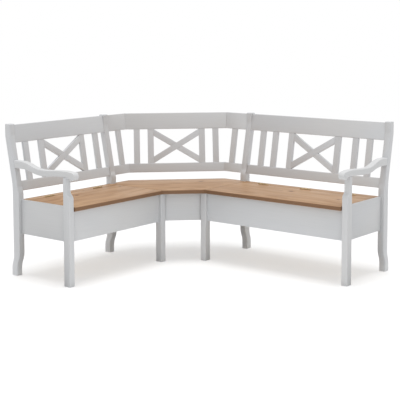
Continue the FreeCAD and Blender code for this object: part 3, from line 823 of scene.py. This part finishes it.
class GrowthTree:
    """Geometry tree with named inputs that places copies of one shape on points."""

    def __init__(self, name: str) -> None:
        """Start the tree with its geometry in and out.

        Args:
            name: the tree's name.
        """
        self.group = bpy.data.node_groups.new(name, "GeometryNodeTree")
        self.board = NodeBoard(self.group)
        self.group.interface.new_socket("Points", in_out="INPUT", socket_type="NodeSocketGeometry")
        self.group.interface.new_socket("Mesh", in_out="OUTPUT", socket_type="NodeSocketGeometry")
        self.source = self.board.add("NodeGroupInput")
        self.identifiers: dict[str, str] = {}

    def value(self, name: str, kind: str, default: Any = None) -> bpy.types.NodeSocket:
        """Add a named input.

        Args:
            name: the input's name.
            kind: Float, Int or Material.
            default: its value at first.

        Returns:
            The socket that gives its value.
        """
        socket = self.group.interface.new_socket(name, in_out="INPUT", socket_type=f"NodeSocket{kind}")
        if default is not None:
            socket.default_value = default
        self.identifiers[name] = socket.identifier
        return self.source.outputs[name]

    def close(self, shape: bpy.types.NodeSocket, turn: bpy.types.NodeSocket) -> None:
        """Place the shape on every point, give each its own grain, and set the material.

        Args:
            shape: the shape to repeat.
            turn: rotation of each copy.
        """
        board = self.board
        copies = board.add("GeometryNodeInstanceOnPoints", {
            "Points": self.source.outputs["Points"], "Instance": shape, "Rotation": turn})
        seed = self.value("Seed", "Int", SEED)
        own = board.add("FunctionNodeRandomValue", {0: (1.0, 1.0, 1.0), 1: (40.0, 40.0, 40.0), "Seed": seed},
                        data_type="FLOAT_VECTOR")
        marked = board.add("GeometryNodeStoreNamedAttribute", {
            "Geometry": copies.outputs[0], "Name": "own_start", "Value": own.outputs[0]},
            data_type="FLOAT_VECTOR", domain="INSTANCE")
        real = board.add("GeometryNodeRealizeInstances", {"Geometry": marked.outputs[0]})
        local = board.add("GeometryNodeInputNamedAttribute", {"Name": "grain"}, data_type="FLOAT_VECTOR")
        start = board.add("GeometryNodeInputNamedAttribute", {"Name": "own_start"}, data_type="FLOAT_VECTOR")
        total = board.vector("ADD", local.outputs[0], start.outputs[0])
        grain = board.add("GeometryNodeStoreNamedAttribute", {
            "Geometry": real.outputs[0], "Name": "grain", "Value": total},
            data_type="FLOAT_VECTOR", domain="POINT")
        coat = board.add("GeometryNodeSetMaterial", {
            "Geometry": grain.outputs[0], "Material": self.value("Material", "Material")})
        board.add("NodeGroupOutput", {"Mesh": coat.outputs[0]})

    def grow(self, name: str, points: Sequence[Vector], turns: Sequence[Euler],
             values: Mapping[str, Any]) -> bpy.types.Object:
        """Grow the tree on points and keep the result as a plain mesh.

        Args:
            name: the new piece's name.
            points: where the copies stand.
            turns: how each is turned.
            values: named inputs to set.

        Returns:
            The piece.
        """
        mesh = bpy.data.meshes.new(name)
        mesh.from_pydata([tuple(point) for point in points], [], [])
        spin = mesh.attributes.new("turn", "FLOAT_VECTOR", "POINT")
        spin.data.foreach_set("vector", [value for turn in turns for value in turn])
        item = add_object(name, mesh)
        growth = item.modifiers.new("Growth", "NODES")
        growth.node_group = self.group
        for key, value in values.items():
            growth[self.identifiers[key]] = value
        bake(item)
        return item


def turn_of_point(board: NodeBoard) -> bpy.types.NodeSocket:
    """Rotation that the point carries.

    Args:
        board: the geometry tree's node board.

    Returns:
        The rotation's socket.
    """
    carried = board.add("GeometryNodeInputNamedAttribute", {"Name": "turn"}, data_type="FLOAT_VECTOR")
    return board.add("FunctionNodeEulerToRotation", {0: carried.outputs[0]}).outputs[0]


def slat_tree() -> GrowthTree:
    """Tree of upright slats with rounded long edges.

    Returns:
        The tree.
    """
    tree = GrowthTree("Slats")
    board = tree.board
    width = tree.value("Width", "Float", 0.040)
    thickness = tree.value("Thickness", "Float", 0.018)
    height = tree.value("Height", "Float", 0.230)
    easing = tree.value("Easing", "Float", 0.002)
    frame = board.add("GeometryNodeCurvePrimitiveQuadrilateral", {"Width": width, "Height": thickness})
    rounded = board.add("GeometryNodeFilletCurve", {
        "Curve": frame.outputs[0], "Count": 3, "Radius": easing}, mode="POLY")
    base = board.add("GeometryNodeFillCurve", {"Curve": rounded.outputs[0]}, mode="NGONS")
    grown = board.add("GeometryNodeExtrudeMesh", {
        "Mesh": base.outputs[0], "Offset": (0.0, 0.0, 1.0), "Offset Scale": height, "Individual": False})
    under = board.add("GeometryNodeFlipFaces", {"Mesh": base.outputs[0]})
    whole = board.add("GeometryNodeJoinGeometry")
    for part in (grown, under):
        board.tree.links.new(part.outputs[0], whole.inputs[0])
    closed = board.add("GeometryNodeMergeByDistance", {"Geometry": whole.outputs[0], "Distance": 1e-6})
    drop = board.add("ShaderNodeCombineXYZ", {2: board.math("MULTIPLY", height, -0.5)})
    centred = board.add("GeometryNodeTransform", {
        "Geometry": closed.outputs[0], "Translation": drop.outputs[0]})
    place = board.add("ShaderNodeSeparateXYZ", {0: board.add("GeometryNodeInputPosition").outputs[0]})
    local = board.add("ShaderNodeCombineXYZ", {0: place.outputs[2], 1: place.outputs[0], 2: place.outputs[1]})
    grain = board.add("GeometryNodeStoreNamedAttribute", {
        "Geometry": centred.outputs[0], "Name": "grain", "Value": local.outputs[0]},
        data_type="FLOAT_VECTOR", domain="POINT")
    tree.close(grain.outputs[0], turn_of_point(board))
    return tree


def screw_tree() -> GrowthTree:
    """Tree of countersunk screw heads with a cross recess, each driven to its own angle.

    Returns:
        The tree.
    """
    tree = GrowthTree("Screws")
    board = tree.board
    radius = tree.value("Radius", "Float", 0.0032)
    depth = tree.value("Depth", "Float", HEAD_DEPTH)
    head = board.add("GeometryNodeMeshCylinder", {"Vertices": 20, "Radius": radius, "Depth": depth})
    arm = board.math("MULTIPLY", radius, ARM_SHARE)
    groove = board.math("MULTIPLY", radius, GROOVE_SHARE)
    size = board.add("ShaderNodeCombineXYZ", {0: arm, 1: groove, 2: depth})
    lift = board.add("ShaderNodeCombineXYZ", {2: board.math("MULTIPLY", depth, 0.5)})
    recess = board.add("GeometryNodeMeshBoolean", {"Mesh 1": head.outputs[0]}, operation="DIFFERENCE",
                       solver="EXACT")
    for angle in (0.0, math.pi / 2):
        blade = board.add("GeometryNodeMeshCube", {"Size": size.outputs[0]})
        turned = board.add("GeometryNodeTransform", {
            "Geometry": blade.outputs[0], "Translation": lift.outputs[0], "Rotation": (0.0, 0.0, angle)})
        board.tree.links.new(turned.outputs[0], recess.inputs["Mesh 2"])
    drive = board.add("FunctionNodeRandomValue", {2: 0.0, 3: math.pi, "Seed": SEED}, data_type="FLOAT")
    about = board.add("ShaderNodeCombineXYZ", {2: drive.outputs[1]})
    spin = board.add("FunctionNodeEulerToRotation", {0: about.outputs[0]})
    turned = board.add("FunctionNodeRotateRotation", {
        "Rotation": turn_of_point(board), "Rotate By": spin.outputs[0]}, rotation_space="LOCAL")
    tree.close(recess.outputs[0], turned.outputs[0])
    return tree


# Sub-assemblies


@dataclass
class Back:
    """Rails, stiles, slats and cross of one line of the back.

    Attributes:
        shop: the workshop.
        line: the wall line.
        rails: nodes of its rails.
        prefix: first word of its other nodes.
    """

    shop: Workshop
    line: WallLine
    rails: tuple[str, ...]
    prefix: str

    def build(self, tree: GrowthTree) -> None:
        """Make the line's rails, cross bars, stiles and slats.

        Args:
            tree: the tree that grows slats.
        """
        for rail in self.rails:
            self.shop.eased(rail, Slot.PAINT, EASE.rail)
        for kind in ("falling", "rising"):
            self.shop.eased(f"{self.prefix}_cross_bar_{kind}", Slot.PAINT, EASE.cross_bar)
        for kind in ("stiles", "slats"):
            self.slats(f"{self.prefix}_{kind}", tree)

    def line_of(self, middle: np.ndarray) -> WallLine:
        """Line that an upright stands on: the corner's outer slats stand on the wings' lines.

        Args:
            middle: the upright's middle.

        Returns:
            The line.
        """
        if self.line is not CORNER:
            return self.line
        turned = CORNER.measure(middle[None, :])[0]
        if abs(turned[0]) < HALF_BEND * math.sqrt(2):
            return CORNER
        return RIGHT if turned[0] > 0 else LEFT

    def slats(self, node: str, tree: GrowthTree) -> None:
        """Grow the uprights of one node in the places where it has them.

        Args:
            node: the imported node.
            tree: the tree that grows slats.
        """
        middles, turns = [], []
        size = np.zeros(3)
        for corners in self.shop.solids(node):
            line = self.line_of((corners.min(axis=0) + corners.max(axis=0)) / 2)
            turn = Euler((-RAKE, 0.0, math.radians(line.turn)))
            own = corners @ np.array(turn.to_matrix())
            low, high = own.min(axis=0), own.max(axis=0)
            size = high - low
            middles.append(turn.to_matrix() @ Vector((low + high) / 2))
            turns.append(turn)
        item = tree.grow(f"{node}_finished", middles, turns, {
            "Width": float(size[0]), "Thickness": float(size[1]), "Height": float(size[2]),
            "Material": self.shop.materials[Slot.PAINT]})
        item.data.set_sharp_from_angle(angle=math.radians(40))
        self.shop.finish(item, Slot.PAINT, [node], self.shop.body_of(node))


@dataclass
class Wing:
    """Posts, arm, chest and lid of one wing.

    Attributes:
        shop: the workshop.
        line: the wall line.
        lid_shift: where the grain coordinates of its seat start.
    """

    shop: Workshop
    line: WallLine
    lid_shift: Vector

    def build(self) -> None:
        """Make every piece of the wing but its back and hinges."""
        name, along = self.line.name, self.line.along
        for post in ("end_post", "junction_post"):
            self.shop.eased(f"{name}_{post}", Slot.PAINT, EASE.post, UP)
        for leg in ("arm_post", "corner_leg"):
            self.shop.eased(f"{name}_{leg}", Slot.PAINT, EASE.post, UP)
        self.shop.eased(f"{name}_armrest", Slot.PAINT, EASE.post, self.line.ahead)
        self.shop.eased(f"{name}_apron", Slot.PAINT, EASE.apron, along)
        self.shop.eased(f"{name}_end_panel", Slot.PAINT, EASE.post, self.line.ahead)
        for panel, slot, grain in (("back_panel", Slot.PAINT, along),
                                   ("divider", Slot.PAINT, self.line.ahead),
                                   ("chest_floor", Slot.INNER, along),
                                   ("chest_cleats", Slot.INNER, along)):
            self.shop.eased(f"{name}_{panel}", slot, EASE.panel, grain)
        self.shop.eased(f"{name}_lid_battens", Slot.SEAT, EASE.batten, self.line.ahead)
        for seat in ("lid", "hinge_strip"):
            self.shop.eased(f"{name}_{seat}", Slot.SEAT, EASE.seat, along, self.lid_shift)


@dataclass
class CornerUnit:
    """Seat, apron and hidden rails of the corner.

    Attributes:
        shop: the workshop.
        seat_shift: where the grain coordinates of its seat start.
    """

    shop: Workshop
    seat_shift: Vector

    def build(self) -> None:
        """Make the pieces of the corner but its back."""
        self.shop.eased("corner_seat", Slot.SEAT, EASE.seat, CORNER.across, self.seat_shift)
        self.shop.eased("corner_apron", Slot.PAINT, EASE.apron, CORNER.across)
        self.shop.eased("corner_seat_rails", Slot.PAINT, EASE.hidden, CORNER.across)
        self.shop.eased("corner_seat_cleats", Slot.INNER, EASE.panel)


@dataclass
class Hinges:
    """Hinge leaves, pins and screws of one lid.

    Attributes:
        shop: the workshop.
        line: the wall line.
        leaf_drop: depth of a leaf below the seat's surface.
        screw_height: height of the screws in a leaf, as a share of its depth.
        screw_step: distance between the screws of a leaf.
        screw_radius: radius of a screw head.
        proud: how far a head stands out of its leaf.
    """

    shop: Workshop
    line: WallLine
    leaf_drop: float = 0.024
    screw_height: float = 0.46
    screw_step: float = 0.026
    screw_radius: float = 0.0032
    proud: float = 0.0001

    def build(self, tree: GrowthTree) -> None:
        """Make the leaves, the pins and their screws.

        Args:
            tree: the tree that grows screws.
        """
        name = self.line.name
        self.shop.eased(f"{name}_hinge_pins", Slot.STEEL, EASE.pin)
        for leaves, body, sense in (("strip_hinge_leaves", "bench", 1),
                                    ("lid_hinge_leaves", f"{name}_lid", -1)):
            node = f"{name}_{leaves}"
            self.shop.eased(node, Slot.STEEL, EASE.leaf)
            places = []
            for points in self.shop.solids(node, self.line):
                low, high = points.min(axis=0), points.max(axis=0)
                plate = points[points[:, 2] < low[2] + 1e-4]
                face = plate[:, 1].max() if sense > 0 else plate[:, 1].min()
                for step in (-1, 0, 1):
                    places.append((float((low[0] + high[0]) / 2 + step * self.screw_step), float(face),
                                   float(low[2] + self.leaf_drop * self.screw_height)))
            screws(self.shop, tree, f"{node}_screws", self.line, places, self.line.ahead * sense, body,
                   self.screw_radius, self.proud)


def screws(shop: Workshop, tree: GrowthTree, name: str, line: WallLine,
           places: Iterable[tuple[float, float, float]], facing: Vector, body: str,
           radius: float, proud: float) -> None:
    """Set a row of screws flush in a surface.

    Args:
        shop: the workshop.
        tree: the tree that grows screws.
        name: the new piece's name.
        line: the wall line that the places are measured from.
        places: u, v and z of each head on the surface.
        facing: direction in which the heads look.
        body: the body that they move with.
        radius: radius of a head.
        proud: how far a head stands out of the surface.
    """
    turn = facing.to_track_quat("Z", "Y").to_euler()
    points = [line.place(*place) + facing * (proud - HEAD_DEPTH / 2) for place in places]
    item = tree.grow(name, points, [turn] * len(points), {
        "Radius": radius, "Depth": HEAD_DEPTH, "Material": shop.materials[Slot.STEEL]})
    shop.finish(item, Slot.STEEL, [], body)


@dataclass
class Fixings:
    """Screws that hold the battens to a lid.

    Attributes:
        shop: the workshop.
        line: the wall line.
        radius: radius of a head.
        proud: how far a head stands out of the wood.
        shares: places of the screws along a batten, as shares of its length.
    """

    shop: Workshop
    line: WallLine
    radius: float = 0.0042
    proud: float = 0.0002
    shares: tuple[float, float, float] = (0.12, 0.5, 0.88)

    def build(self, tree: GrowthTree) -> None:
        """Set the screws.

        Args:
            tree: the tree that grows screws.
        """
        name = self.line.name
        node = f"{name}_lid_battens"
        places = []
        for points in self.shop.solids(node, self.line):
            low, high = points.min(axis=0), points.max(axis=0)
            for share in self.shares:
                places.append((float(low[0] + high[0]) / 2, float(low[1] + (high[1] - low[1]) * share),
                               float(low[2])))
        screws(self.shop, tree, f"{node}_screws", self.line, places, -UP, f"{name}_lid",
               self.radius, self.proud)


# Studio


def seen_directly(board: NodeBoard) -> bpy.types.NodeSocket:
    """Whether a ray comes from the camera, a gloss or clear matter, and not from soft light.

    Args:
        board: the node board of a world or material.

    Returns:
        The socket, 1 for such rays.
    """
    rays = board.add("ShaderNodeLightPath").outputs
    seen = board.math("MAXIMUM", rays["Is Camera Ray"], rays["Is Glossy Ray"])
    return board.math("MAXIMUM", seen, rays["Is Transmission Ray"])


@dataclass(frozen=True)
class Studio:
    """Camera, floor and light.

    Attributes:
        eye: place of the camera.
        yaw: direction of view about Z, in degrees from +X.
        pitch: direction of view above the horizon, in degrees.
        roll: turn of the picture, in degrees.
        lens: focal length in millimetres on a 36 mm sensor.
        shift: vertical shift of the lens, in picture widths.
        ambient: level of the light from all round.
        sky: strength of the soft light from above.
        spread: apparent size of that light, in degrees.
        bounce: how much light the floor gives back to the bench.
        under: how much it gives back from the strip below the seats; this is painted shade, a darker floor
            colour for soft light that stands in for the bench's shadow there.
        painted_shade_middle: distance from the walls to the middle of that strip of painted shade.
        painted_shade_reach: how far from its middle the painted shade starts to lift, and is gone.
        haze: how far the camera sees the floor fade into the background.
        floor_colour: the floor's colour as it is seen.
        floor_radius: radius of the floor.
        floor_sides: number of its sides.
        fade_reach: distances at which the floor starts to fade, and is gone.
    """

    eye: tuple[float, float, float] = (3.7972, -4.7620, 1.4934)
    yaw: float = 128.62
    pitch: float = -5.345
    roll: float = -0.127
    lens: float = 91.9
    shift: float = -0.2
    ambient: float = 0.80
    sky: float = 1.5
    spread: float = 24.0
    bounce: float = 0.97
    # Painted shade: the floor's colour for soft light falls from bounce to under in a strip below the seats.
    under: float = 0.15
    painted_shade_middle: float = 0.32
    painted_shade_reach: tuple[float, float] = (0.10, 0.22)
    haze: float = 0.45
    floor_colour: tuple[float, float, float, float] = (0.97, 0.97, 0.97, 1.0)
    floor_radius: float = 9.0
    floor_sides: int = 96
    fade_reach: tuple[float, float] = (1.5, 5.0)

    def build(self) -> None:
        """Set up the whole studio."""
        self.camera()
        self.floor()
        self.overhead()
        self.world()
        bpy.context.scene.view_settings.view_transform = "Standard"

    def camera(self) -> None:
        """Place the camera."""
        data = bpy.data.cameras.new("Camera")
        data.sensor_width = 36.0
        data.lens = self.lens
        data.shift_y = self.shift
        data.clip_end = 200.0
        camera = bpy.data.objects.new("Camera", data)
        yaw, pitch, roll = (math.radians(value) for value in (self.yaw, self.pitch, self.roll))
        view = Vector((math.cos(pitch) * math.cos(yaw), math.cos(pitch) * math.sin(yaw), math.sin(pitch)))
        level = view.cross(UP).normalized()
        top = level.cross(view)
        right = level * math.cos(roll) + top * math.sin(roll)
        above = right.cross(view)
        turn = Matrix((right, above, -view)).transposed()
        camera.matrix_world = Matrix.Translation(self.eye) @ turn.to_4x4()
        bpy.context.scene.collection.objects.link(camera)
        bpy.context.scene.camera = camera

    def floor(self) -> None:
        """Pale floor that keeps the shadow and fades out far from the bench."""
        mesh = bpy.data.meshes.new("Floor")
        angles = [math.tau * step / self.floor_sides for step in range(self.floor_sides)]
        ring = [(self.floor_radius * math.cos(angle), self.floor_radius * math.sin(angle), 0.0)
                for angle in angles]
        mesh.from_pydata(ring, [], [tuple(range(self.floor_sides))])
        floor = add_object("Floor", mesh)
        material, board = new_material("Floor")
        place = board.add("ShaderNodeTexCoord").outputs["Object"]
        distance = board.add("ShaderNodeVectorMath", {0: place}, operation="LENGTH").outputs["Value"]
        away = board.remap(distance, self.fade_reach)
        seen = seen_directly(board)
        # Painted shade: for soft light the floor is darkened in a strip below the seats, standing in for the
        # bench's shadow there, so the legs' inner faces come out shaded.
        spot = board.add("ShaderNodeSeparateXYZ", {0: place}).outputs
        inwards = board.math("MINIMUM", board.math("SUBTRACT", spot[0], ROOM_CORNER[0]),
                             board.math("SUBTRACT", ROOM_CORNER[1], spot[1]))
        off_painted_shade = board.math("ABSOLUTE", board.math("SUBTRACT", inwards, self.painted_shade_middle))
        level = board.remap(off_painted_shade, self.painted_shade_reach, (self.under, self.bounce))
        colour = board.blend(seen, board.grey(level), self.floor_colour)
        fade = board.math("MAXIMUM", away, board.math("MULTIPLY", seen, self.haze))
        ground = board.add("ShaderNodeBsdfDiffuse", {"Color": colour})
        clear = board.add("ShaderNodeBsdfTransparent")
        mixed = board.add("ShaderNodeMixShader", {0: fade, 1: ground.outputs[0], 2: clear.outputs[0]})
        board.add("ShaderNodeOutputMaterial", {"Surface": mixed.outputs[0]})
        mesh.materials.append(material)

    def overhead(self) -> None:
        """Add the soft light that shines straight down."""
        data = bpy.data.lights.new("Overhead", "SUN")
        data.energy = self.sky
        data.angle = math.radians(self.spread)
        bpy.context.scene.collection.objects.link(bpy.data.objects.new("Overhead", data))

    def world(self) -> None:
        """White background with a softer level of light from all round."""
        world = bpy.data.worlds.new("World")
        world.use_nodes = True
        board = NodeBoard(world.node_tree)
        level = (self.ambient, self.ambient, self.ambient, 1.0)
        colour = board.blend(seen_directly(board), level, (1.0, 1.0, 1.0, 1.0))
        light = board.add("ShaderNodeBackground", {"Color": colour})
        board.add("ShaderNodeOutputWorld", {"Surface": light.outputs[0]})
        bpy.context.scene.world = world


def build(frame: Mapping[str, Any]) -> Workshop:
    """Make every piece of the bench.

    Args:
        frame: what the loaded frame holds.

    Returns:
        The workshop with the finished pieces.
    """
    shop = Workshop(frame, {
        Slot.PAINT: paint_material(PaintFinish()),
        Slot.SEAT: pine_material(Slot.SEAT, SEAT_PINE),
        Slot.INNER: pine_material(Slot.INNER, INNER_PINE),
        Slot.STEEL: steel_material(SteelFinish()),
    })
    slats, heads = slat_tree(), screw_tree()
    for line, shift in ((LEFT, Vector((20.0, 3.03, 0.0))), (RIGHT, Vector((10.0, 5.04, 0.0)))):
        Back(shop, line, (f"{line.name}_top_rail", f"{line.name}_lower_rail"), line.name).build(slats)
        Wing(shop, line, shift).build()
        Hinges(shop, line).build(heads)
        Fixings(shop, line).build(heads)
    rails = tuple(f"corner_{part}{level}_rail"
                  for level in ("top", "lower") for part in ("", "left_", "right_"))
    Back(shop, CORNER, rails, "corner").build(slats)
    CornerUnit(shop, Vector((30.0, 7.02, 0.0))).build()
    return shop


def main() -> None:
    """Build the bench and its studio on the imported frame."""
    logging.basicConfig(level=logging.INFO, format="%(message)s")
    bpy.ops.wm.read_factory_settings(use_empty=True)
    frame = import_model()
    shop = build(frame)
    Studio().build()
    LOG.info("%d pieces, %d faces", len(shop.pieces), sum(len(item.data.polygons) for item in shop.pieces))


if __name__ == "__main__":
    main()
